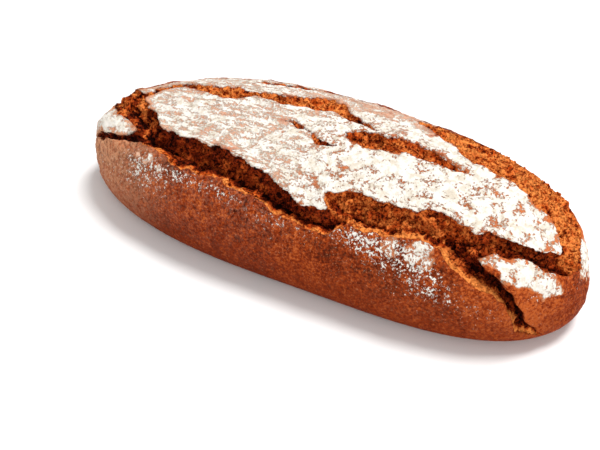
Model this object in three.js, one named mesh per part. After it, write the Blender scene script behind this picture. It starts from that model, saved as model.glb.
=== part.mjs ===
// A long country loaf, baked in one piece on a flat hearth: a domed oval body whose floured top
// skin has burst into plates, with torn crumb in the cracks between them.
//
// Millimetres. +X runs along the loaf, +Y to its back, +Z up. The loaf stands on z = 0 with its
// origin under its middle.
//
// Two numbers name a place on the crust: along, a share of the half length from -1 at the left tip
// to 1 at the right tip, and turn, in degrees round the loaf from 0 on its crown, to -90 at the
// widest level in front and 90 behind, and on to 180 where the crust meets the flat base.

import * as THREE from "three";
import { mergeVertices } from "three/addons/utils/BufferGeometryUtils.js";

// ---- Driving dimensions -------------------------------------------------------------------------

const LENGTH = 330;
const WIDTH = 140;
const HEIGHT = 78;
const WIDEST_HEIGHT = 19.5; // the widest level, above the base
const BEND = 11; // how far both ends swing forward of the middle
const TAPER = 0.04; // share by which the left end is wider than the middle, and the right narrower

// How square the body is: 2 is an ellipse, and more is fuller.
const LEFT_END = 2.4;
const RIGHT_END = 3.4;
const CROSS_SECTION = 1.87;
const CROWN = 2.8;
const BASE_SHARE = 0.62; // where the flat base ends, between 0 at the middle and 1 at the widest level

// ---- Cracks -------------------------------------------------------------------------------------

// Each stop of a route is [along, turn, half width in mm]. The deepest line is at the middle of a
// crack for lean 0, at its front edge for lean -1 and at its back edge for lean 1.
const CRACKS = [
  {
    name: "left end and front",
    depth: 10,
    lean: -0.2,
    stops: [
      [-0.93, 34, 2],
      [-0.92, 8, 5],
      [-0.87, -12, 7],
      [-0.79, -19, 8],
      [-0.72, -26, 8],
      [-0.67, -37, 8],
      [-0.58, -42, 8.5],
      [-0.49, -43.5, 9],
      [-0.38, -45.5, 9.5],
      [-0.28, -46.5, 9.5],
      [-0.17, -48.5, 9],
      [-0.07, -54, 7.5],
      [0.02, -57, 7],
      [0.11, -57, 7],
      [0.18, -50, 8.5],
      [0.25, -46, 10],
      [0.34, -46, 10.5],
      [0.43, -43, 10.5],
      [0.52, -41.5, 10.5],
      [0.59, -43, 9],
      [0.66, -41, 7],
      [0.74, -38, 6],
      [0.82, -36.5, 5.5],
      [0.9, -32, 5.5],
      [0.95, -30, 4],
      [0.985, -42, 2],
    ],
  },
  {
    name: "mouth under the left knob",
    depth: 8,
    lean: 0,
    stops: [
      [-0.68, -40, 5],
      [-0.73, -44, 5.5],
      [-0.78, -50, 3],
    ],
  },
  {
    name: "branch down the right front",
    depth: 10,
    lean: 0.2,
    stops: [
      [0.55, -47, 5],
      [0.61, -54, 8],
      [0.68, -60, 8],
      [0.74, -66, 6.5],
      [0.79, -70, 6],
      [0.83, -78, 6],
      [0.865, -88, 5.5],
      [0.89, -104, 4],
      [0.9, -118, 2],
    ],
  },
  {
    name: "burst band behind the right end",
    depth: 3,
    lean: 0,
    stops: [
      [0.2, 35, 4],
      [0.3, 35, 7],
      [0.37, 35, 12],
      [0.44, 34, 18],
      [0.5, 34, 23],
      [0.6, 34, 24.5],
      [0.7, 34, 22.5],
      [0.78, 30, 21],
      [0.85, 24, 18],
      [0.9, 13, 12.5],
      [0.935, 0, 9],
      [0.95, -12, 8],
      [0.945, -25, 7],
    ],
  },
  {
    name: "back, from the left end",
    depth: 5,
    lean: 0.1,
    stops: [
      [-0.84, -12, 4],
      [-0.775, 3, 4],
      [-0.73, 13, 4],
      [-0.66, 14, 4],
      [-0.58, 11, 6],
      [-0.5, 8, 8.5],
      [-0.42, 8.5, 9],
      [-0.375, 11, 6],
      [-0.31, 13.5, 6],
      [-0.22, 14, 8],
      [-0.14, 17, 9],
      [-0.07, 18.5, 7],
      [0, 16, 5.5],
      [0.07, 12, 4],
      [0.13, 9, 2],
    ],
  },
  {
    name: "rear",
    depth: 3.5,
    lean: 0,
    stops: [
      [-0.46, 28, 2],
      [-0.39, 33, 4.5],
      [-0.33, 37, 5],
      [-0.25, 38, 5],
      [-0.18, 42, 5],
      [-0.1, 47, 2],
    ],
  },
  {
    name: "short crack on the crown",
    depth: 3.5,
    lean: 0,
    stops: [
      [-0.2, -5.5, 2],
      [-0.14, -8, 4],
      [-0.08, -11, 5],
      [-0.03, -14.5, 5],
      [0.02, -14, 3],
    ],
  },
  {
    name: "long crack on the crown",
    depth: 5,
    lean: 0.2,
    stops: [
      [0.01, -2, 2],
      [0.06, -1, 5],
      [0.11, -2.5, 8.5],
      [0.17, -1, 9],
      [0.24, 3, 6.5],
      [0.31, 3.5, 6],
      [0.38, 2, 5.5],
      [0.44, 1.5, 4],
      [0.5, 1.5, 2],
    ],
  },
];
const LIP_HEIGHT = 1.5; // how far the skin curls up beside a full-width crack
const LIP_REACH = 5; // how far that curl reaches from the crack's edge

// ---- Mesh density -------------------------------------------------------------------------------

const RINGS = 94; // round the loaf, from tip to tip
const CRUST_STEPS = 50; // steps of a ring over the crown
const LOWEST_CRACKED_TURN = 120;
const UNDERSIDE_STEPS = 3; // steps of a ring from there to the flat base, on each side
const ROUTE_SAMPLES = 120;

// ---- The body -----------------------------------------------------------------------------------

const QUARTER_TURN = 90;
const MEAN_OF_SQUARE = 1 / 3; // keeps the bend centred on the loaf's long axis
const radians = THREE.MathUtils.degToRad;

function endPower(along) {
  return along < 0 ? LEFT_END : RIGHT_END;
}

// A point on the uncracked body.
function bodyPoint(along, turn) {
  const taken = Math.abs(along) ** endPower(along);
  const side = Math.sign(turn);
  let across, z;
  if (Math.abs(turn) <= QUARTER_TURN) {
    const left = 1 - taken;
    const tilt = radians(Math.abs(turn));
    across = (left * Math.sin(tilt) ** 2) ** (1 / CROSS_SECTION);
    z = WIDEST_HEIGHT + (HEIGHT - WIDEST_HEIGHT) * (left * Math.cos(tilt) ** 2) ** (1 / CROWN);
  } else {
    const lowest = Math.max(BASE_SHARE, taken);
    const tilt = radians(Math.abs(turn) - QUARTER_TURN);
    const reach = lowest + (1 - lowest) * Math.max(0, Math.cos(tilt));
    const rounding = (reach - BASE_SHARE) / (1 - BASE_SHARE);
    across = Math.max(0, reach - taken) ** (1 / CROSS_SECTION);
    z = WIDEST_HEIGHT * (1 - Math.sqrt(Math.max(0, 1 - rounding ** 2)));
  }
  const y = side * across * (WIDTH / 2) * (1 - TAPER * along);
  return new THREE.Vector3(
    along * (LENGTH / 2),
    y - BEND * (along ** 2 - MEAN_OF_SQUARE),
    z,
  );
}

// The outward direction of the body there, from two short steps along the crust.
function bodyNormal(along, turn) {
  const step = 1e-3;
  const alongStep = bodyPoint(Math.min(1, along + step), turn).sub(
    bodyPoint(Math.max(-1, along - step), turn),
  );
  const turnStep = bodyPoint(along, turn + QUARTER_TURN * step).sub(
    bodyPoint(along, turn - QUARTER_TURN * step),
  );
  return alongStep.cross(turnStep).normalize();
}

// ---- The cracks ---------------------------------------------------------------------------------

// Each crack as closely spaced samples of its route, with its width, direction and side there.
function crackSamples(crack) {
  const path = new THREE.CatmullRomCurve3(
    crack.stops.map(([along, turn]) => bodyPoint(along, turn)),
  );
  const widest = Math.max(...crack.stops.map((stop) => stop[2]));
  const samples = [];
  for (let i = 0; i <= ROUTE_SAMPLES; i++) {
    const share = i / ROUTE_SAMPLES;
    const place = share * (crack.stops.length - 1);
    const from = Math.min(Math.floor(place), crack.stops.length - 2);
    const [a, b] = [crack.stops[from], crack.stops[from + 1]];
    const mix = (k) => THREE.MathUtils.lerp(a[k], b[k], place - from);
    const heading = path.getTangent(share);
    samples.push({
      point: path.getPoint(share),
      back: bodyNormal(mix(0), mix(1)).cross(heading).normalize(),
      halfWidth: mix(2),
      depth: crack.depth * Math.sqrt(mix(2) / widest),
    });
  }
  return samples;
}

// How far one crack moves a point on the body along its normal: in for the crack, out for its lips.
function crackOffset(point, crack, samples) {
  let nearest = samples[0];
  for (const sample of samples) {
    if (point.distanceTo(sample.point) < point.distanceTo(nearest.point)) nearest = sample;
  }
  const toPoint = point.clone().sub(nearest.point);
  const distance = toPoint.length();
  const share = (Math.sign(toPoint.dot(nearest.back)) * distance) / nearest.halfWidth;
  if (Math.abs(share) < 1) {
    const climb =
      share < crack.lean
        ? (crack.lean - share) / (crack.lean + 1)
        : (share - crack.lean) / (1 - crack.lean);
    return -nearest.depth * Math.cos((climb * Math.PI) / 2) ** 2;
  }
  const past = (distance - nearest.halfWidth) / LIP_REACH;
  return LIP_HEIGHT * (nearest.depth / crack.depth) * past * Math.exp(1 - past);
}

// The deepest crack wins, and away from cracks the strongest lip does.
function crustOffset(point, cracks) {
  const offsets = cracks.map(({ crack, samples }) => crackOffset(point, crack, samples));
  const deepest = Math.min(...offsets);
  return deepest < 0 ? deepest : Math.max(...offsets);
}

// ---- The mesh -----------------------------------------------------------------------------------

// Stops between two values, spaced evenly by the distance that place() travels between them.
function evenStops(from, to, count, place) {
  const fine = 2000;
  const travelled = [0];
  let last = place(from);
  for (let i = 1; i <= fine; i++) {
    const next = place(THREE.MathUtils.lerp(from, to, i / fine));
    travelled.push(travelled[i - 1] + next.distanceTo(last));
    last = next;
  }
  const stops = [];
  let i = 0;
  for (let k = 0; k <= count; k++) {
    while (i < fine && travelled[i] < (travelled[fine] * k) / count) i++;
    stops.push(THREE.MathUtils.lerp(from, to, i / fine));
  }
  return stops;
}

function ringTurns() {
  const crust = evenStops(-LOWEST_CRACKED_TURN, LOWEST_CRACKED_TURN, CRUST_STEPS, (turn) =>
    bodyPoint(0, turn),
  );
  const under = evenStops(LOWEST_CRACKED_TURN, 2 * QUARTER_TURN, UNDERSIDE_STEPS, (turn) =>
    bodyPoint(0, turn),
  ).slice(1);
  return [...under.map((turn) => -turn).reverse(), ...crust, ...under];
}

function loafGeometry() {
  const cracks = CRACKS.map((crack) => ({ crack, samples: crackSamples(crack) }));
  const alongStops = evenStops(-1, 1, RINGS, (along) => bodyPoint(along, -QUARTER_TURN));
  const turns = ringTurns();
  const corners = [];
  for (const along of alongStops) {
    for (const turn of turns) {
      const point = bodyPoint(along, turn);
      if (Math.abs(along) < 1 && Math.abs(turn) <= LOWEST_CRACKED_TURN) {
        point.addScaledVector(bodyNormal(along, turn), crustOffset(point, cracks));
      }
      corners.push(...point.toArray());
    }
  }

  const faces = [];
  for (let ring = 0; ring < alongStops.length - 1; ring++) {
    for (let i = 0; i < turns.length; i++) {
      const j = (i + 1) % turns.length;
      const [a, b] = [ring * turns.length + i, ring * turns.length + j];
      const [c, d] = [a + turns.length, b + turns.length];
      faces.push(a, c, b, b, c, d);
    }
  }

  const geometry = new THREE.BufferGeometry();
  geometry.setAttribute("position", new THREE.Float32BufferAttribute(corners, 3));
  geometry.setIndex(faces);
  return centred(withoutEmptyFaces(mergeVertices(geometry, 1e-3)));
}

// The rings shrink to a point at each tip, which leaves faces with no area there.
function withoutEmptyFaces(geometry) {
  const index = geometry.index.array;
  const kept = [];
  for (let i = 0; i < index.length; i += 3) {
    const [a, b, c] = index.slice(i, i + 3);
    if (a !== b && b !== c && c !== a) kept.push(a, b, c);
  }
  geometry.setIndex(kept);
  return geometry;
}

// Puts the origin under the middle of the loaf, on the plane of its base.
function centred(geometry) {
  geometry.computeBoundingBox();
  const middle = geometry.boundingBox.getCenter(new THREE.Vector3());
  geometry.translate(-middle.x, -middle.y, -geometry.boundingBox.min.z);
  geometry.computeVertexNormals();
  return geometry;
}

// ---- The part -----------------------------------------------------------------------------------

const crust = new THREE.MeshStandardMaterial({ color: 0x9c5a2c, roughness: 0.85, metalness: 0 });

const loaf = new THREE.Mesh(loafGeometry(), crust);
loaf.name = "loaf";

const part = new THREE.Group();
part.add(loaf);

export default part;
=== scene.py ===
import math

import bpy
import numpy as np
from mathutils import Matrix, Vector, noise


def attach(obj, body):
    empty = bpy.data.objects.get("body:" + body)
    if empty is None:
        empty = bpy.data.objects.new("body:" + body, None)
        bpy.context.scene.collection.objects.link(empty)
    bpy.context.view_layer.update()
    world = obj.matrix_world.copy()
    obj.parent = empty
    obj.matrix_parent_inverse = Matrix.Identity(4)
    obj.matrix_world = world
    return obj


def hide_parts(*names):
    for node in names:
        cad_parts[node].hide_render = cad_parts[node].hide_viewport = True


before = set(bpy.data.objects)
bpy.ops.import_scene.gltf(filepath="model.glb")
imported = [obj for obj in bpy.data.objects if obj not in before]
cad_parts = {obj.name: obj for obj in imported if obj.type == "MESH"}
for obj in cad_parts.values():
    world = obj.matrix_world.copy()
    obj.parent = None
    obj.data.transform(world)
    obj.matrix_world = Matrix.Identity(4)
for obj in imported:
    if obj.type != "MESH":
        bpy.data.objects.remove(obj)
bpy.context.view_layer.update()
bpy.context.scene.view_settings.view_transform = "Standard"
bpy.context.scene.view_settings.look = "None"
noise.seed_set(3)  # noise_vector starts anywhere otherwise

# Sizes are in millimetres. A place on the crust is (along, turn): along runs from -1 at the
# left tip to 1 at the right tip, and turn goes round from 0 on the crown to -90 at the widest
# level in front, 90 behind, and 180 at the edge of the flat base.
loafForm = {
    "length": 330,
    "width": 140,
    "height": 78,
    "widestHeight": 19.5,
    "bend": 11,
    "taper": 0.04,
    "leftEnd": 2.4,
    "rightEnd": 3.4,
    "crossSection": 1.87,
    "crown": 2.8,
    "baseShare": 0.62,
    "segments": 228,
    "rings": 430,
    "swell": 1.1,  # slow unevenness of the whole body
    "swellSize": 55,
    "setIn": 0.4,  # leaves room for the roughened skin
    "rim": (4, 24),  # the heights between which relief fades out towards the base
}

# Relief that modifiers press into a part of the crust, in metres, coarse to fine.
roughness = [
    {"group": "torn", "kind": "CLOUDS", "size": 0.018, "strength": 0.0065, "detail": 1},
    {"group": "torn", "kind": "CLOUDS", "size": 0.0075, "strength": 0.0070, "detail": 3},
    {"group": "torn", "kind": "VORONOI", "size": 0.0036, "strength": 0.0040, "middle": 0.35},
    {"group": "torn", "kind": "CLOUDS", "size": 0.0020, "strength": 0.0046, "detail": 2},
    {"group": "skin", "kind": "CLOUDS", "size": 0.012, "strength": 0.0026, "detail": 3},
    {"group": "skin", "kind": "CLOUDS", "size": 0.0035, "strength": 0.0011, "detail": 2},
]

# How every tear is cut; widths and depths are in mm.
tearing = {
    "wander": [(3.0, 21), (2.5, 8), (0.45, 3.2)],  # how far an edge strays, and over what size
    "reach": 26,
    "ledgeDrop": 0.14,  # share of the depth
    "lipRise": 1.15,
    "lipWidth": 4.5,
    "overhangWidth": 2.6,
    "hollowAt": 1.8,
    "hollowWidth": 1.5,
    "fullShadeDepth": 9,  # the depth from which the painted shade along a tear's floor is full
    "ledgeGold": 0.85,
}
usualTear = {
    "flatness": 2.3,
    "lean": 0,
    "ledge": 0,
    "open": 0,
    "shade": 1,
    "groove": 1.9,
}

# Each stop is (along, turn, half width). The floor of a tear lies at its front edge for lean -1
# and at its back edge for lean 1. Gold is how pale and orange the crumb in it has baked, and
# ledge is the width of the torn shelf just below the skin in front, as a share of the half
# width. A tear takes from usualTear what it doesn't state.
# The shade of a tear scales the painted shade along its floor, and groove is the width of that
# painted shade in mm.
tears = [
    {
        "name": "left end, top",
        "depth": 3.2,
        "flatness": 4,
        "lean": 0.1,
        "frontLip": 0.4,
        "backLip": 1.4,
        "overhang": 0.8,
        "gold": 0.62,
        "open": 1,
        "stops": [
            (-0.93, 34, 2),
            (-0.925, 20, 6),
            (-0.90, 5, 9.5),
            (-0.865, -7, 11),
            (-0.82, -15, 11),
            (-0.78, -21, 9),
        ],
    },
    {
        "name": "left end, bottom",
        "depth": 9,
        "lean": -0.3,
        "frontLip": 0.6,
        "backLip": 1.4,
        "overhang": 1.2,
        "gold": 0.42,
        "open": 0.6,
        "stops": [
            (-0.825, -19, 5),
            (-0.775, -24, 8),
            (-0.715, -29, 8.5),
            (-0.67, -36, 8),
        ],
    },
    {
        "name": "crease under the left knob",
        "depth": 4.2,
        "frontLip": 0.3,
        "backLip": 0.8,
        "overhang": 0.8,
        "gold": 0.25,
        "stops": [
            (-0.775, -48, 1.6),
            (-0.83, -50.5, 2.4),
            (-0.90, -54, 2.4),
            (-0.945, -59, 2.3),
            (-0.97, -68, 2.1),
            (-0.985, -82, 1.4),
        ],
    },
    {
        "name": "front left",
        "depth": 12.5,
        "lean": -0.62,
        "frontLip": 0.5,
        "backLip": 1.8,
        "overhang": 1.4,
        "ledge": 0.42,
        "gold": 0.06,
        "stops": [
            (-0.70, -30, 6),
            (-0.66, -39, 8.5),
            (-0.58, -42.5, 9),
            (-0.50, -44, 9.3),
            (-0.40, -45.5, 9.6),
            (-0.30, -46.5, 9.6),
            (-0.20, -48.5, 9),
            (-0.12, -52, 8),
            (-0.04, -56, 7.5),
            (0.04, -58.5, 7),
            (0.11, -58, 7),
            (0.19, -54, 6),
        ],
    },
    {
        "name": "mouth under the left knob",
        "depth": 8,
        "frontLip": 0.4,
        "backLip": 0.4,
        "overhang": 0.6,
        "gold": 0.2,
        "stops": [(-0.66, -39, 5), (-0.71, -43, 4.5), (-0.75, -47, 3), (-0.785, -50, 1)],
    },
    {
        "name": "front middle",
        "depth": 9.5,
        "flatness": 1.35,
        "shade": 0.75,
        "lean": -0.45,
        "frontLip": 0.3,
        "backLip": 1.6,
        "overhang": 1.0,
        "ledge": 0.34,
        "gold": 0.56,
        "stops": [
            (0.105, -42.5, 2.5),
            (0.15, -45, 7.5),
            (0.20, -46.5, 10),
            (0.27, -46.5, 10.5),
            (0.34, -45, 9.8),
            (0.41, -43.5, 9.2),
            (0.48, -41.2, 9.2),
            (0.54, -41.5, 9.8),
            (0.60, -43, 9),
        ],
    },
    {
        "name": "above the right lobe",
        "depth": 7,
        "lean": -0.1,
        "frontLip": 1.0,
        "backLip": 1.2,
        "overhang": 1.2,
        "gold": 0.34,
        "stops": [
            (0.58, -43, 8.5),
            (0.64, -42, 7.5),
            (0.71, -39.5, 6.2),
            (0.78, -38, 5.8),
            (0.85, -35.5, 5.5),
            (0.91, -32, 6),
            (0.95, -29, 5),
        ],
    },
    {
        "name": "branch down the right front",
        "depth": 13,
        "lean": 0.3,
        "frontLip": 0.4,
        "backLip": 1.6,
        "overhang": 0.8,
        "ledge": 0.42,
        "gold": 0.3,
        "groove": 2.9,
        "stops": [
            (0.56, -46, 6),
            (0.61, -53, 8),
            (0.665, -58.5, 7.5),
            (0.72, -63.5, 6.0),
            (0.765, -67.5, 4.6),
            (0.80, -72, 4.3),
            (0.84, -80, 4.4),
            (0.87, -91, 4.0),
            (0.89, -103, 3.0),
            (0.902, -116, 1.6),
        ],
    },
    {
        "name": "burst band behind the right end",
        "flatness": 6,
        "depth": 2.6,
        "frontLip": 1.2,
        "backLip": 0.8,
        "overhang": 0.6,
        "gold": 0.9,
        "stops": [
            (0.22, 35, 3),
            (0.30, 35, 7),
            (0.37, 35, 12),
            (0.44, 34, 18),
            (0.50, 34, 23),
            (0.60, 34, 24.5),
            (0.70, 34, 22.5),
            (0.78, 30, 21),
            (0.85, 24, 18),
            (0.90, 13, 12.5),
            (0.935, 0, 8.5),
            (0.95, -12, 7.5),
            (0.945, -25, 7),
        ],
    },
    {
        "name": "seam behind the left plate",
        "depth": 5.5,
        "lean": 0.35,
        "frontLip": 1.2,
        "backLip": 0.8,
        "overhang": 0.8,
        "gold": 1.0,
        "shade": 0.4,
        "stops": [
            (-0.825, -12, 3),
            (-0.795, -3, 3.8),
            (-0.765, 6, 4.4),
            (-0.725, 12, 4.6),
            (-0.66, 14, 4.6),
            (-0.60, 12.5, 5.6),
            (-0.54, 9.5, 7),
            (-0.47, 8, 9),
            (-0.42, 9, 9),
            (-0.385, 11, 5),
        ],
    },
    {
        "name": "seam behind the middle",
        "depth": 6,
        "lean": 0.25,
        "frontLip": 0.6,
        "backLip": 0.9,
        "overhang": 0.9,
        "gold": 1.0,
        "shade": 0.4,
        "stops": [
            (-0.40, 11.5, 3),
            (-0.35, 13, 4.5),
            (-0.28, 13.5, 5.5),
            (-0.21, 14.5, 7.2),
            (-0.14, 17, 9),
            (-0.08, 19, 7.5),
            (-0.01, 16.5, 4.2),
            (0.06, 12.5, 2.8),
            (0.13, 9, 1.2),
        ],
    },
    {
        "name": "rearmost",
        "depth": 4,
        "frontLip": 0.5,
        "backLip": 0.5,
        "overhang": 0.3,
        "gold": 0.75,
        "stops": [
            (-0.46, 26, 1.5),
            (-0.40, 30, 3.2),
            (-0.33, 34, 4),
            (-0.25, 36, 4.2),
            (-0.17, 40, 4.4),
            (-0.10, 44.5, 3.4),
            (-0.03, 49, 1.5),
        ],
    },
    {
        "name": "short, on the crown",
        "depth": 4.2,
        "lean": -0.2,
        "frontLip": 0.4,
        "backLip": 0.5,
        "overhang": 0.4,
        "gold": 0.45,
        "stops": [
            (-0.20, -5.5, 0.7),
            (-0.14, -8, 2),
            (-0.085, -10.5, 3),
            (-0.035, -14, 3.2),
            (0.01, -14.5, 2.2),
            (0.035, -13, 0.8),
        ],
    },
    {
        "name": "long, on the crown",
        "depth": 5.5,
        "lean": 0.25,
        "frontLip": 0.4,
        "backLip": 1.0,
        "overhang": 0.8,
        "gold": 0.62,
        "shade": 0.6,
        "stops": [
            (0.01, -2, 1),
            (0.06, -1.5, 4.2),
            (0.11, -2, 7.5),
            (0.17, -1, 8),
            (0.23, 2.5, 6.6),
            (0.30, 4, 5.6),
            (0.37, 3, 4.8),
            (0.44, 1.5, 3.4),
            (0.50, 1.5, 1.2),
        ],
    },
]


# Rounded swellings of the skin, as (along, turn, reach along, reach in turn, height).
knobs = [
    (-0.88, -37, 0.085, 14, 4.8),
    (0.80, -54, 0.16, 11, 2.6),
    (0.12, -49, 0.05, 6, 1.0),
    (0.45, -60, 0.07, 8, 1.2),
    (-0.60, -58, 0.20, 8, 1.6),
    (-0.865, 2, 0.055, 14, 3.4),
]


def swelling(along, turn):
    height = np.zeros_like(along)
    for atAlong, atTurn, reachAlong, reachTurn, rise in knobs:
        away = ((along - atAlong) / reachAlong) ** 2 + ((turn - atTurn) / reachTurn) ** 2
        height += rise * np.exp(-away)
    return height


def crustPlace(along, turn):
    form = loafForm
    endPower = np.where(along < 0, form["leftEnd"], form["rightEnd"])
    taken = np.abs(along) ** endPower
    side = np.sign(turn)
    steep = np.radians(np.abs(turn))
    upper = np.minimum(steep, math.pi / 2)
    left = 1 - taken
    across = (left * np.sin(upper) ** 2) ** (1 / form["crossSection"])
    rise = (left * np.cos(upper) ** 2) ** (1 / form["crown"])
    z = form["widestHeight"] + (form["height"] - form["widestHeight"]) * rise
    tucked = np.clip(steep - math.pi / 2, 0, math.pi / 2)  # the part under the widest level
    lowest = np.maximum(form["baseShare"], taken)
    reach = lowest + (1 - lowest) * np.cos(tucked)
    acrossBelow = np.clip(reach - taken, 0, None) ** (1 / form["crossSection"])
    rounding = (reach - form["baseShare"]) / (1 - form["baseShare"])
    zBelow = form["widestHeight"] * (1 - np.sqrt(np.clip(1 - rounding**2, 0, None)))
    below = np.abs(turn) > 90
    across = np.where(below, acrossBelow, across)
    z = np.where(below, zBelow, z)
    y = side * across * form["width"] / 2 * (1 - form["taper"] * along)
    y = y - form["bend"] * (along**2 - 1 / 3)
    return np.stack([along * form["length"] / 2, y, z], axis=-1)


def crustNormal(along, turn):
    step = 1e-3
    lengthways = crustPlace(np.minimum(1, along + step), turn) - crustPlace(
        np.maximum(-1, along - step), turn
    )
    around = crustPlace(along, turn + 90 * step) - crustPlace(along, turn - 90 * step)
    out = np.cross(lengthways, around)
    return out / np.maximum(np.linalg.norm(out, axis=-1, keepdims=True), 1e-9)


# Values between low and high, spaced so that equal steps cover equal distance times density.
def spacedValues(low, high, place, density=None):
    fine = np.linspace(low, high, 4001)
    travelled = np.linalg.norm(np.diff(place(fine), axis=0), axis=1)
    if density is not None:
        travelled = travelled * density((fine[1:] + fine[:-1]) / 2)
    share = np.concatenate([[0], np.cumsum(travelled)])
    share = share / share[-1]
    return lambda s: np.interp(s, share, fine)


def smoothStep(low, high, value):
    t = np.clip((value - low) / (high - low), 0, 1)
    return t * t * (3 - 2 * t)


def noiseField(points, size, octaves=1, seed=0):
    offset = Vector((seed * 7.31, seed * 3.17, seed * 5.73))
    return np.array(
        [noise.fractal(Vector(p) / size + offset, 0.8, 2.1, octaves) for p in points]
    )


def noisePush(points, size, seed=0):
    offset = Vector((seed * 7.31, seed * 3.17, seed * 5.73))
    return np.array([noise.noise_vector(Vector(p) / size + offset) for p in points])


def deselectAll():
    bpy.ops.object.select_all(action="DESELECT")


def roundDough():
    # A sphere with its poles at the tips of the loaf.
    deselectAll()
    bpy.ops.mesh.primitive_uv_sphere_add(
        segments=loafForm["segments"], ring_count=loafForm["rings"], radius=1
    )
    loaf = bpy.context.object
    loaf.name = "loafCrust"
    bpy.ops.object.mode_set(mode="EDIT")
    bpy.ops.mesh.select_all(action="SELECT")
    bpy.ops.transform.rotate(
        value=math.pi / 2, orient_axis="Y", center_override=(0, 0, 0)
    )
    bpy.ops.object.mode_set(mode="OBJECT")
    return loaf


def readPoints(loaf):
    points = np.empty(len(loaf.data.vertices) * 3)
    loaf.data.vertices.foreach_get("co", points)
    return points.reshape(-1, 3)


def writePoints(loaf, points):
    loaf.data.vertices.foreach_set("co", points.ravel())
    loaf.data.update()


def placesOnSphere(loaf):
    unit = readPoints(loaf)
    unit /= np.linalg.norm(unit, axis=1, keepdims=True)
    lengthShare = np.arccos(np.clip(-unit[:, 0], -1, 1)) / math.pi
    roundShare = np.arctan2(unit[:, 1], unit[:, 2]) / (2 * math.pi) + 0.5
    alongAt = spacedValues(-1, 1, lambda a: crustPlace(a, np.full_like(a, -90)))

    # The mesh is finest where the tears and the flour are.
    def turnDensity(turn):
        density = np.full_like(turn, 1 / 3.2)
        density = np.where((turn > -128) & (turn < 90), 1 / 1.4, density)
        return np.where((turn > -84) & (turn < 66), 1 / 0.9, density)

    turnAt = spacedValues(
        -180, 180, lambda t: crustPlace(np.zeros_like(t), t), turnDensity
    )
    return alongAt(lengthShare), turnAt(roundShare)


# A tear's route as close samples: its place, its back direction, half width and depth.
def routeOf(tear):
    stops = np.array(tear["stops"], float)
    perStop = 14
    share = np.linspace(0, len(stops) - 1, perStop * (len(stops) - 1) + 1)
    values = [np.interp(share, np.arange(len(stops)), stops[:, k]) for k in range(3)]
    kernel = np.hanning(13)[1:-1]
    kernel /= kernel.sum()
    pad = len(kernel) // 2
    values = [np.convolve(np.pad(v, pad, mode="edge"), kernel, "valid") for v in values]
    along, turn, halfWidth = values
    place = crustPlace(along, turn)
    heading = np.gradient(place, axis=0)
    back = np.cross(crustNormal(along, turn), heading)
    back /= np.linalg.norm(back, axis=1, keepdims=True)
    depth = tear["depth"] * np.sqrt(halfWidth / halfWidth.max())
    return place, back, halfWidth, depth


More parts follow.
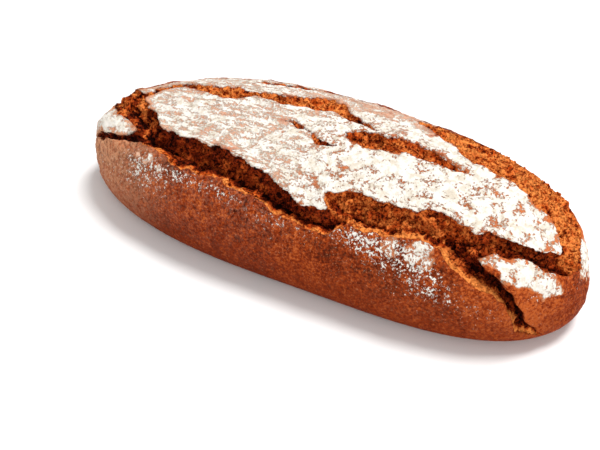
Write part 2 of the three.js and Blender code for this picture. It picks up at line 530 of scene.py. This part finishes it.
def tearSkin(base, normals):
    count = len(base)
    ragged = base.copy()
    for seed, (strays, size) in enumerate(tearing["wander"], 1):
        ragged += strays * noisePush(base, size, seed)
    edge = np.full(count, -30.0)  # how far inside the nearest tear, in mm
    drop = np.zeros(count)
    lift = np.zeros(count)
    creviceShade = np.zeros(count)
    gold = np.zeros(count)
    opened = np.zeros(count)
    shelf = np.zeros(count)
    goldWeight = np.full(count, 1e-6)
    shift = np.zeros((count, 3))
    for special in tears:
        tear = {**usualTear, **special}
        place, back, halfWidth, depth = routeOf(tear)
        low, high = place.min(0) - tearing["reach"], place.max(0) + tearing["reach"]
        near = np.flatnonzero(((ragged > low) & (ragged < high)).all(1))
        nearest = np.empty(len(near), int)
        batch = 8000  # points at a time, to spare memory
        for first in range(0, len(near), batch):
            rows = slice(first, first + batch)
            away = ragged[near[rows], None, :] - place[None, :, :]
            nearest[rows] = (away**2).sum(2).argmin(1)
        offset = ragged[near] - place[nearest]
        distance = np.linalg.norm(offset, axis=1)
        side = np.where((offset * back[nearest]).sum(1) < 0, -1.0, 1.0)
        half, deep = halfWidth[nearest], depth[nearest]
        across = side * distance / half
        lean = tear["lean"]
        climb = np.where(
            across < lean, (lean - across) / (lean + 1), (across - lean) / (1 - lean)
        )
        inside = 1 - np.clip(climb, 0, 1) ** tear["flatness"]
        edgeHere = half - distance
        # A torn ledge lies just below the skin along the front of some tears.
        if tear["ledge"]:
            shelfWidth = tear["ledge"] * half
            ledge = np.where(side < 0, 1 - smoothStep(0.8, 1.25, edgeHere / shelfWidth), 0)
            onLedge = tearing["ledgeDrop"] * smoothStep(0, 2, edgeHere)
            inside = inside * (1 - ledge) + ledge * onLedge
        past = np.clip(-edgeHere, 0, None)
        strength = np.clip(deep / tear["depth"], 0, 1)
        lip = np.where(side < 0, tear["frontLip"], tear["backLip"])
        bulge = np.exp(-((past / tearing["lipWidth"]) ** 2))
        liftHere = strength * lip * tearing["lipRise"] * bulge
        # The skin reaches over the edge, and the crumb just inside is drawn back under it.
        over = np.exp(-((past / tearing["overhangWidth"]) ** 2)) * (edgeHere <= 0)
        fromHollow = (edgeHere - tearing["hollowAt"]) / tearing["hollowWidth"]
        under = -np.exp(-(fromHollow**2)) * (edgeHere > 0)
        reach = tear["overhang"] * strength * (over + under)
        shiftHere = -back[nearest] * (side * reach)[:, None]
        deeper = deep * inside > drop[near]
        better = (edgeHere > edge[near]) | deeper
        shift[near] = np.where(better[:, None], shiftHere, shift[near])
        drop[near] = np.maximum(drop[near], deep * inside)
        lift[near] = np.maximum(lift[near], liftHere)
        # Painted shade: the floor of a deep tear is darkened along its groove.
        shadeStrength = min(1, tear["depth"] / tearing["fullShadeDepth"]) ** 2 * tear["shade"]
        groove = np.exp(-(((across - lean) * half / tear["groove"]) ** 2)) * strength
        creviceShade[near] = np.maximum(creviceShade[near], groove * (edgeHere > 0) * shadeStrength)
        weight = np.exp(np.clip(edgeHere, -20, 6) / 1.5)
        golden = tear["gold"] * np.ones(len(near))
        if tear["ledge"]:
            golden = np.maximum(golden, tearing["ledgeGold"] * ledge)
            shelf[near] = np.maximum(shelf[near], ledge * (edgeHere > 0))
        gold[near] += weight * golden
        opened[near] += weight * tear["open"]
        goldWeight[near] += weight
        edge[near] = np.maximum(edge[near], edgeHere)
    lift *= 1 - smoothStep(-0.6, 1.4, edge)
    moved = base + normals * (lift - drop)[:, None] + shift
    return moved, edge, creviceShade, shelf, gold / goldWeight, opened / goldWeight


def addAttribute(loaf, name, values):
    attribute = loaf.data.attributes.new(name, "FLOAT", "POINT")
    attribute.data.foreach_set("value", values.astype(np.float32))


def addGroup(loaf, name, weights):
    group = loaf.vertex_groups.new(name=name)
    for index, weight in enumerate(weights):
        if weight > 0.01:
            group.add([index], float(weight), "REPLACE")


def selectOnly(loaf):
    deselectAll()
    loaf.select_set(True)
    bpy.context.view_layer.objects.active = loaf


# Roughens the part of the crust in a vertex group with a modifier, and applies it.
def roughen(loaf, relief):
    texture = bpy.data.textures.new(relief["group"] + relief["kind"].title(), relief["kind"])
    texture.noise_scale = relief["size"]
    if "detail" in relief:
        texture.noise_depth = relief["detail"]
    modifier = loaf.modifiers.new("roughen", "DISPLACE")
    modifier.texture = texture
    modifier.texture_coords = "LOCAL"
    modifier.strength = relief["strength"]
    modifier.mid_level = relief.get("middle", 0.5)
    modifier.vertex_group = relief["group"]
    selectOnly(loaf)
    bpy.ops.object.modifier_apply(modifier="roughen")


# Evens out the step from one row of the mesh to the next.
def settle(loaf, groupName, factor, rounds):
    modifier = loaf.modifiers.new("settle", "SMOOTH")
    modifier.factor = factor
    modifier.iterations = rounds
    modifier.vertex_group = groupName
    selectOnly(loaf)
    bpy.ops.object.modifier_apply(modifier="settle")


# Floured plates of skin, as stops of (along, front turn, back turn, amount).
plateEdge = {"turn": (-4, 2.5), "along": (-0.02, 0.01)}  # where the flour begins and is full
plates = [
    [
        (-0.83, -12, -6, 0.70),
        (-0.79, -20, 2, 0.80),
        (-0.70, -34, 14, 0.87),
        (-0.55, -43, 14, 0.90),
        (-0.38, -46, 12, 0.86),
        (-0.22, -49, 13, 0.87),
        (-0.08, -54, 17, 0.89),
        (0.05, -55, 24, 0.94),
        (0.14, -54, 27, 0.98),
        (0.22, -47, 27, 0.98),
        (0.36, -46, 24, 1.0),
        (0.46, -44, 19, 1.0),
        (0.56, -44, 14, 0.99),
        (0.70, -42, 14, 0.98),
        (0.82, -38, 10, 0.96),
        (0.90, -34, 2, 0.93),
        (0.935, -30, -14, 0.88),
    ],
    [
        (-0.83, -4, 16, 0.7),
        (-0.72, 10, 34, 0.85),
        (-0.40, 14, 40, 0.88),
        (-0.12, 18, 44, 0.80),
        (0.06, 18, 44, 0.76),
        (0.2, 24, 46, 0.70),
        (0.3, 28, 48, 0.6),
    ],
    [
        (0.645, -48, -50, 0.5),
        (0.67, -50, -44, 0.9),
        (0.72, -54, -42, 0.88),
        (0.78, -58, -39, 0.93),
        (0.82, -61, -38, 0.99),
        (0.87, -64, -38, 0.95),
        (0.92, -68, -44, 0.92),
        (0.945, -62, -50, 0.8),
    ],
    [
        (-0.95, -52, -24, 0.8),
        (-0.90, -51, -20, 1.0),
        (-0.80, -48, -24, 1.0),
        (-0.73, -44, -36, 0.8),
    ],
]

# Looser dustings, as (along, turn, reach along, reach in turn, amount).
dustings = [
    (0.90, -66, 0.06, 8, 0.6),
    (0.46, -60, 0.055, 9, 0.85),
    (0.385, -58, 0.035, 8, 0.72),
    (0.27, -61, 0.12, 8, 0.8),
    (0.37, -68, 0.12, 10, 0.56),
    (0.53, -66, 0.06, 9, 0.66),
    (0.57, -75, 0.11, 10, 0.54),
    (0.42, -80, 0.20, 14, 0.34),
    (0.72, -84, 0.16, 12, 0.34),
    (0.86, -90, 0.2, 22, 0.22),
    (0.30, -96, 0.5, 24, 0.16),
    (0.74, -58, 0.10, 5, 0.4),
    (-0.67, -58, 0.07, 8, 0.68),
    (-0.57, -60, 0.07, 9, 0.64),
    (-0.64, -70, 0.12, 9, 0.5),
    (-0.46, -60, 0.09, 6, 0.66),
    (-0.28, -61, 0.13, 6, 0.66),
    (-0.02, -68, 0.22, 10, 0.6),
    (-0.55, -76, 0.35, 18, 0.40),
    (-0.9, -80, 0.2, 22, 0.42),
    (-0.97, -40, 0.05, 60, 0.5),
    (-0.9, 60, 0.12, 40, 0.4),
    (0.1, 52, 0.8, 22, 0.52),
    (-0.5, 70, 0.45, 26, 0.42),
    (0.45, 78, 0.40, 24, 0.44),
    (0.90, 66, 0.12, 26, 0.5),
    (0.985, -30, 0.03, 45, 0.45),
]

# Rounded heaps of flour, as (along, turn, radius in mm, amount).
heaps = [
    (0.50, -55.5, 7, 1.0),
    (0.47, -57.5, 8, 1.0),
    (0.49, -62.5, 6, 0.6),
    (0.385, -59, 6, 0.8),
    (0.53, -61, 5, 0.7),
    (0.51, -66, 4, 0.4),
    (-0.665, -55, 3.2, 0.75),
    (-0.60, -58, 4, 0.8),
    (-0.55, -60, 3.2, 0.75),
    (0.962, 20, 10, 0.95),
    (0.982, 34, 9.5, 0.95),
    (0.985, 62, 7, 0.85),
    (0.985, 2, 6, 0.8),
    (0.94, 44, 8, 0.85),
    (0.86, 58, 8, 0.6),
    (0.78, 64, 6, 0.55),
    (-0.97, 20, 14, 0.6),
]


def heapFlour(points):
    bare = np.ones(len(points))
    for along, turn, radius, amount in heaps:
        middle = crustPlace(np.array([float(along)]), np.array([float(turn)]))
        away = np.linalg.norm(points - middle, axis=1) / radius
        bare *= 1 - amount * (1 - smoothStep(0.55, 1.25, away))
    return 1 - bare


def plateFlour(along, turn):
    bare = np.ones_like(along)
    for plate in plates:
        stops = np.array(plate)
        front, back, amount = (np.interp(along, stops[:, 0], stops[:, k]) for k in (1, 2, 3))
        inside = smoothStep(*plateEdge["turn"], turn - np.minimum(front, back))
        inside *= smoothStep(*plateEdge["turn"], np.maximum(front, back) - turn)
        inside *= smoothStep(*plateEdge["along"], along - stops[0, 0])
        inside *= smoothStep(*plateEdge["along"], stops[-1, 0] - along)
        bare *= 1 - amount * inside
    return 1 - bare


def looseFlour(along, turn):
    bare = np.ones_like(along)
    for atAlong, atTurn, reachAlong, reachTurn, amount in dustings:
        away = ((along - atAlong) / reachAlong) ** 2 + ((turn - atTurn) / reachTurn) ** 2
        bare *= 1 - amount * np.exp(-away)
    return 1 - bare


def bakeLoaf():
    loaf = roundDough()
    along, turn = placesOnSphere(loaf)
    base = crustPlace(along, turn)
    normals = crustNormal(along, turn)
    tips = np.abs(along) > 0.9999
    normals[tips] = np.sign(along[tips])[:, None] * np.array([1, 0, 0])
    middleY = (base[:, 1].max() + base[:, 1].min()) / 2
    above = smoothStep(*loafForm["rim"], base[:, 2])
    swell = noiseField(base, loafForm["swellSize"], 2, 5) * loafForm["swell"] * above
    moved, edge, creviceShade, shelf, gold, opened = tearSkin(base, normals)
    swell += swelling(along, turn)
    moved += normals * (swell - loafForm["setIn"])[:, None] * above[:, None]
    moved[:, 1] -= middleY
    writePoints(loaf, moved * 0.001)
    print("torn open")

    torn = smoothStep(0.2, 2.2, edge) * (1 - 0.6 * shelf)
    skin = (1 - smoothStep(-1.5, 0.4, edge)) * above
    addGroup(loaf, "torn", torn)
    addGroup(loaf, "skin", skin)
    addGroup(loaf, "nearTear", smoothStep(-9, -4, edge))
    settle(loaf, "nearTear", 0.5, 3)
    for relief in roughness:
        roughen(loaf, relief)
    loaf.vertex_groups.clear()
    print("roughened")

    addAttribute(loaf, "edge", np.clip(edge, -12, 12))
    # Painted shade along the floors of the tears.
    addAttribute(loaf, "creviceShade", np.clip(creviceShade, 0, 1))
    addAttribute(loaf, "gold", gold)
    addAttribute(loaf, "opened", opened)
    addAttribute(loaf, "shelf", shelf)
    drift = noisePush(base, 10, 8) + 0.5 * noisePush(base, 3.5, 9)
    floured = plateFlour(along + 0.026 * drift[:, 0], turn + 7 * drift[:, 1])
    addAttribute(loaf, "flour", np.maximum(floured, heapFlour(base + 6 * drift)))
    addAttribute(loaf, "dust", looseFlour(along, turn))
    addAttribute(loaf, "along", along)
    selectOnly(loaf)
    bpy.ops.object.shade_smooth()
    return loaf


def paint(red, green, blue):
    share = [c / 255 for c in (red, green, blue)]
    linear = [c / 12.92 if c <= 0.04045 else ((c + 0.055) / 1.055) ** 2.4 for c in share]
    return (*linear, 1)


class Nodes:
    def __init__(self, tree):
        self.tree = tree

    def add(self, kind, **settings):
        made = self.tree.nodes.new(kind)
        for name, value in settings.items():
            setattr(made, name, value)
        return made

    def put(self, socket, value):
        if isinstance(value, bpy.types.NodeSocket):
            self.tree.links.new(value, socket)
        else:
            socket.default_value = value

    def math(self, operation, a, b):
        made = self.add("ShaderNodeMath", operation=operation)
        self.put(made.inputs[0], a)
        self.put(made.inputs[1], b)
        return made.outputs[0]

    def ramp(self, value, low, high, fromOut=0.0, toOut=1.0):
        made = self.add("ShaderNodeMapRange", interpolation_type="SMOOTHSTEP")
        self.put(made.inputs["Value"], value)
        self.put(made.inputs["From Min"], low)
        self.put(made.inputs["From Max"], high)
        self.put(made.inputs["To Min"], fromOut)
        self.put(made.inputs["To Max"], toOut)
        return made.outputs["Result"]

    def times(self, a, b):
        return self.math("MULTIPLY", a, b)

    # The sum of each value times its weight, plus a constant.
    def blend(self, weighted, constant, clamp=False):
        total = constant
        for place, (value, weight) in enumerate(weighted):
            made = self.add("ShaderNodeMath", operation="MULTIPLY_ADD")
            made.use_clamp = clamp and place == len(weighted) - 1
            self.put(made.inputs[0], value)
            self.put(made.inputs[1], weight)
            self.put(made.inputs[2], total)
            total = made.outputs[0]
        return total

    def mix(self, factor, a, b):
        made = self.add("ShaderNodeMix", data_type="RGBA")
        self.put(made.inputs["Factor"], factor)
        self.put(made.inputs[6], a)
        self.put(made.inputs[7], b)
        return made.outputs[2]

    def mixValue(self, factor, a, b):
        made = self.add("ShaderNodeMix", data_type="FLOAT")
        self.put(made.inputs["Factor"], factor)
        self.put(made.inputs[2], a)
        self.put(made.inputs[3], b)
        return made.outputs[0]

    def colours(self, value, stops):
        made = self.add("ShaderNodeValToRGB")
        elements = made.color_ramp.elements
        while len(elements) < len(stops):
            elements.new(0.5)
        for element, (position, colour) in zip(elements, stops):
            element.position = position
            element.color = colour
        self.put(made.inputs["Fac"], value)
        return made.outputs["Color"]

    def attribute(self, name):
        return self.add("ShaderNodeAttribute", attribute_name=name).outputs["Fac"]

    # Noise with blobs of about the given size in metres.
    def clouds(self, where, size, detail=3.0, roughness=0.55, distortion=0.0):
        made = self.add("ShaderNodeTexNoise")
        self.put(made.inputs["Vector"], where)
        made.inputs["Scale"].default_value = 1 / size
        made.inputs["Detail"].default_value = detail
        made.inputs["Roughness"].default_value = roughness
        made.inputs["Distortion"].default_value = distortion
        return made.outputs["Fac"]

    # The same place, pushed about by noise so that a pattern loses its regular edges.
    def shaken(self, where, size, amount):
        made = self.add("ShaderNodeTexNoise")
        self.put(made.inputs["Vector"], where)
        made.inputs["Scale"].default_value = 1 / size
        made.inputs["Detail"].default_value = 3
        push = self.add("ShaderNodeVectorMath", operation="SUBTRACT")
        self.put(push.inputs[0], made.outputs["Color"])
        push.inputs[1].default_value = (0.5, 0.5, 0.5)
        moved = self.add("ShaderNodeVectorMath", operation="MULTIPLY_ADD")
        self.put(moved.inputs[0], push.outputs[0])
        moved.inputs[1].default_value = (amount, amount, amount)
        self.put(moved.inputs[2], where)
        return moved.outputs[0]

    # The distance from the seams between cells of about the given size.
    def seams(self, where, size):
        made = self.add("ShaderNodeTexVoronoi", feature="DISTANCE_TO_EDGE")
        self.put(made.inputs["Vector"], where)
        made.inputs["Scale"].default_value = 1 / size
        return made.outputs["Distance"]


# The colours and finish of crust, flour and crumb; lengths are in metres.
crustLook = {
    "charCrust": paint(66, 18, 5),
    "darkCrust": paint(112, 37, 9),
    "redCrust": paint(150, 56, 16),
    "paleCrust": paint(200, 98, 42),
    "ashenCrust": paint(226, 164, 122),
    "veil": paint(246, 200, 170),
    "thinVeil": paint(222, 146, 100),
    "flour": paint(244, 238, 228),
    # The darker flour is partly the flour's own cream tint and partly painted shade across the
    # flour.
    "shadedFlour": paint(221, 209, 191),
    # painted shade in the pores of red crumb
    "redPitShade": paint(36, 7, 3),
    "redWall": paint(104, 30, 11),
    "redCrumb": paint(160, 56, 19),
    "redLump": paint(214, 100, 40),
    # painted shade in the pores of golden crumb
    "goldPitShade": paint(52, 12, 4),
    "goldWall": paint(146, 46, 14),
    "goldCrumb": paint(206, 86, 26),
    "goldLump": paint(252, 148, 72),
    "skinRoughness": 0.68,
    "flourRoughness": 0.95,
    "crumbRoughness": 0.8,
    "gloss": 0.04,
    "reliefStrength": 0.9,
    "reliefDepth": 0.0014,
    "streakStretch": (0.38, 1.0, 1.0),
}


# Every noise size below is in metres on the loaf.
def crustMaterial():
    material = bpy.data.materials.new("bakedCrust")
    material.use_nodes = True
    tree = material.node_tree
    tree.nodes.clear()
    n = Nodes(tree)
    look = crustLook
    output = n.add("ShaderNodeOutputMaterial")
    shader = n.add("ShaderNodeBsdfPrincipled")
    tree.links.new(shader.outputs["BSDF"], output.inputs["Surface"])
    where = n.add("ShaderNodeTexCoord").outputs["Object"]
    stretched = n.add("ShaderNodeMapping")
    n.put(stretched.inputs["Vector"], where)
    stretched.inputs["Scale"].default_value = look["streakStretch"]
    streaks = stretched.outputs["Vector"]
    axes = n.add("ShaderNodeSeparateXYZ")
    n.put(axes.inputs[0], where)

    edge = n.attribute("edge")
    # the painted shade along the tears' floors
    creviceShade = n.attribute("creviceShade")
    gold = n.attribute("gold")
    opened = n.attribute("opened")
    shelf = n.attribute("shelf")
    flour = n.attribute("flour")
    dust = n.attribute("dust")
    along = n.attribute("along")

    # Bare crust: red-brown and mottled, darker near the base, ashen at the left end.
    slow = n.clouds(where, 0.030, 3)
    mottle = n.clouds(where, 0.0052, 5, 0.68, 0.3)
    grain = n.clouds(where, 0.0016, 3, 0.7)
    tone = n.blend(((slow, 0.45), (mottle, 0.42), (grain, 0.92)), -0.388)
    # Paler towards the right end: partly the crust's own tone and partly painted light on the
    # right lobe.
    tone = n.math("ADD", tone, n.ramp(along, 0.45, 0.84, -0.034, 0.064))
    crust = n.colours(
        tone,
        [
            (0.32, look["charCrust"]),
            (0.42, look["darkCrust"]),
            (0.53, look["redCrust"]),
            (0.66, look["paleCrust"]),
        ],
    )
    inFront = n.ramp(axes.outputs["Y"], 0.015, -0.025, 0.3, 1.0)
    leftEnd = n.times(n.ramp(along, -0.42, -0.96), inFront)
    ash = n.ramp(n.clouds(where, 0.0030, 5, 0.75, 0.2), 0.40, 0.58, 0.28, 1.0)
    crust = n.mix(n.times(leftEnd, ash), crust, look["ashenCrust"])
    dots = n.ramp(n.clouds(where, 0.0013, 2, 0.6), 0.60, 0.70)
    crust = n.mix(n.times(dots, n.blend(((leftEnd, 0.35),), 0.30)), crust, look["ashenCrust"])
    low = n.ramp(axes.outputs["Z"], 0.052, 0.004)
    crust = n.mix(n.times(low, 0.62), crust, look["darkCrust"])

    # Flour: a thin veil that pales the crust, thick clumps with crumbly edges, and specks.
    clump = n.clouds(where, 0.0090, 6, 0.72, 0.3)
    gaps = n.ramp(n.seams(n.shaken(where, 0.006, 0.004), 0.010), 0.0, 0.16)
    streakClump = n.clouds(streaks, 0.0036, 5, 0.74, 0.5)
    leftHalf = n.ramp(along, 0.10, -0.16)
    speck = n.clouds(where, 0.0015, 3, 0.75)
    thickPattern = n.blend(((clump, 0.95), (gaps, 0.07)), -0.03)
    pattern = n.mixValue(leftHalf, thickPattern, streakClump)
    pattern = n.blend(((pattern, 0.74), (speck, 0.46)), -0.10)
    fringe = n.times(n.ramp(edge, -4.0, -0.5), n.ramp(slow, 0.45, 0.62))
    wanted = n.blend(((flour, -0.438), (fringe, 0.10)), 0.838)
    thick = n.ramp(n.math("SUBTRACT", pattern, wanted), -0.012, 0.05)
    thick = n.times(thick, n.ramp(flour, 0.02, 0.10))
    dustPattern = n.blend(((n.clouds(where, 0.0040, 4, 0.7, 0.3), 0.45), (speck, 0.75)), -0.10)
    specks = n.ramp(n.blend(((dustPattern, 1), (dust, 0.36)), -0.80), 0.0, 0.03)
    specks = n.times(specks, n.ramp(dust, 0.03, 0.15))
    thick = n.math("MAXIMUM", thick, specks)
    behind = n.ramp(axes.outputs["Y"], 0.002, 0.020)
    veilColour = n.mix(n.math("MAXIMUM", leftHalf, behind), look["thinVeil"], look["veil"])
    brokenFlour = n.blend(((flour, 1), (clump, 0.9)), -0.45)
    veilAmount = n.times(n.ramp(brokenFlour, 0.35, 0.95), n.ramp(pattern, 0.30, 0.52, 0.3, 1.0))
    veilAmount = n.times(veilAmount, n.blend(((fringe, -0.75),), 1.0))
    dustVeil = n.times(dust, n.ramp(dustPattern, 0.42, 0.62, 0.0, 0.2))
    veilAmount = n.math("MAXIMUM", veilAmount, dustVeil)
    skin = n.mix(veilAmount, crust, veilColour)
    # Painted light and shade across the flour: patches take the darker cream, partly the
    # flour's own tint.
    pileShading = n.ramp(n.clouds(where, 0.0050, 4, 0.65), 0.36, 0.56)
    powder = n.mix(n.math("MAXIMUM", pileShading, specks), look["shadedFlour"], look["flour"])
    skin = n.mix(thick, skin, powder)

    # Torn crumb: red-brown walls and golden lumps, with painted shade in its pits, pores and
    # holes, along the floors of the tears and under the skin at their edges; the raised lumps
    # are partly their own colour and partly painted light.
    chunk = n.clouds(where, 0.0070, 5, 0.70, 0.3)
    # Pits, pores and holes, sunk in the relief and darkened with painted shade.
    shadedPits = n.ramp(n.clouds(where, 0.0030, 3, 0.65, 0.4), 0.47, 0.36)
    shadedFinePits = n.ramp(n.clouds(where, 0.0013, 2, 0.6), 0.48, 0.36)
    shadedHoles = n.times(opened, n.ramp(n.clouds(where, 0.0060, 1, 0.4), 0.48, 0.42))
    crumbTone = n.blend(
        (
            (chunk, 1.95),
            (n.clouds(where, 0.018, 3), 0.55),
            (gold, 0.26),
            (shelf, 0.34),
            (shadedPits, -0.42),
            (shadedFinePits, -0.30),
            (shadedHoles, -0.45),
            (creviceShade, -0.70),
            # Painted shade: the crumb just inside a tear's edge, under the skin, is darker,
            # except on ledges.
            (n.times(n.ramp(edge, 4.5, 0.8), n.blend(((shelf, -1),), 1.0)), -0.12),
        ),
        -0.665,
        clamp=True,
    )
    redTones = n.colours(
        crumbTone,
        [
            (0.05, look["redPitShade"]),
            (0.34, look["redWall"]),
            (0.58, look["redCrumb"]),
            (0.85, look["redLump"]),
        ],
    )
    goldTones = n.colours(
        crumbTone,
        [
            (0.05, look["goldPitShade"]),
            (0.30, look["goldWall"]),
            (0.56, look["goldCrumb"]),
            (0.85, look["goldLump"]),
        ],
    )
    crumb = n.mix(n.ramp(gold, 0.1, 0.85), redTones, goldTones)

    wobble = n.blend(((n.clouds(where, 0.0024, 4, 0.6), 2.4),), -1.2)
    torn = n.ramp(n.math("ADD", edge, wobble), -0.15, 0.45)
    n.put(shader.inputs["Base Color"], n.mix(torn, skin, crumb))
    roughSkin = n.mixValue(thick, look["skinRoughness"], look["flourRoughness"])
    n.put(shader.inputs["Roughness"], n.mixValue(torn, roughSkin, look["crumbRoughness"]))
    shader.inputs["Specular IOR Level"].default_value = look["gloss"]

    # Relief too fine for the mesh.
    skinRelief = n.blend(((mottle, 0.9), (grain, 0.5), (thick, 0.5), (speck, 0.3)), 0.0)
    crumbRelief = n.blend(((chunk, 2.6), (shadedPits, -1.9), (shadedFinePits, -1.3), (shadedHoles, -2.4)), 2.4)
    bump = n.add("ShaderNodeBump")
    bump.inputs["Strength"].default_value = look["reliefStrength"]
    bump.inputs["Distance"].default_value = look["reliefDepth"]
    n.put(bump.inputs["Height"], n.mixValue(torn, skinRelief, crumbRelief))
    n.put(shader.inputs["Normal"], bump.outputs["Normal"])
    return material


loaf = bakeLoaf()
loaf.data.materials.clear()
loaf.data.materials.append(crustMaterial())
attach(loaf, "root")
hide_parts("loaf")
print("loaf baked:", len(loaf.data.polygons), "faces")


# Angles are in degrees and places in metres.
studio = {
    "floorSize": 6,
    "floorColour": paint(252, 251, 250),
    "worldStrength": 0.46,
    "keyTowards": (-0.25, -0.35, -1.1),
    "keySoftness": 24,
    "keyStrength": 2.8,
    "fillTowards": (-0.7, 0.8, -0.55),
    "fillSoftness": 40,
    "fillStrength": 1.05,
    "azimuth": 26.9,
    "elevation": 38.0,
    "distance": 0.825,
    "aimAt": (0, -0.00357, 0.035),
    "roll": -0.953,
    "lens": 81.2,
    "shift": (-0.057, -0.0623),
}


def layFloor():
    deselectAll()
    bpy.ops.mesh.primitive_plane_add(size=studio["floorSize"], location=(0, 0, 0))
    floor = bpy.context.object
    floor.name = "floor"
    material = bpy.data.materials.new("paleFloor")
    material.use_nodes = True
    shader = material.node_tree.nodes["Principled BSDF"]
    shader.inputs["Base Color"].default_value = studio["floorColour"]
    shader.inputs["Roughness"].default_value = 0.9
    floor.data.materials.append(material)


# Light from one direction, softened over an angle.
def softLight(name):
    light = bpy.data.lights.new(name, "SUN")
    light.angle = math.radians(studio[f"{name}Softness"])
    light.energy = studio[f"{name}Strength"]
    lamp = bpy.data.objects.new(name, light)
    towards = Vector(studio[f"{name}Towards"])
    lamp.rotation_euler = towards.to_track_quat("-Z", "Y").to_euler()
    bpy.context.scene.collection.objects.link(lamp)


# Plain white for the camera, a softer light for everything else.
def hangSky():
    world = bpy.data.worlds.new("studio")
    world.use_nodes = True
    sky = Nodes(world.node_tree)
    seen = sky.add("ShaderNodeLightPath").outputs["Is Camera Ray"]
    background = world.node_tree.nodes["Background"]
    background.inputs["Color"].default_value = (1, 1, 1, 1)
    brightness = sky.mixValue(seen, studio["worldStrength"], 1.0)
    sky.put(background.inputs["Strength"], brightness)
    bpy.context.scene.world = world


def placeCamera():
    turn, tilt, roll = (math.radians(studio[k]) for k in ("azimuth", "elevation", "roll"))
    back = Vector(
        (
            math.sin(turn) * math.cos(tilt),
            -math.cos(turn) * math.cos(tilt),
            math.sin(tilt),
        )
    )
    right = Vector((math.cos(turn), math.sin(turn), 0))
    up = back.cross(right)
    right, up = (
        right * math.cos(roll) - up * math.sin(roll),
        right * math.sin(roll) + up * math.cos(roll),
    )
    data = bpy.data.cameras.new("camera")
    data.lens = studio["lens"]
    data.shift_x, data.shift_y = studio["shift"]
    camera = bpy.data.objects.new("camera", data)
    place = Vector(studio["aimAt"]) + back * studio["distance"]
    turnMatrix = Matrix((right, up, back)).transposed().to_4x4()
    camera.matrix_world = Matrix.Translation(place) @ turnMatrix
    bpy.context.scene.collection.objects.link(camera)
    bpy.context.scene.camera = camera


layFloor()
hangSky()
softLight("key")
softLight("fill")
placeCamera()
print("studio set")
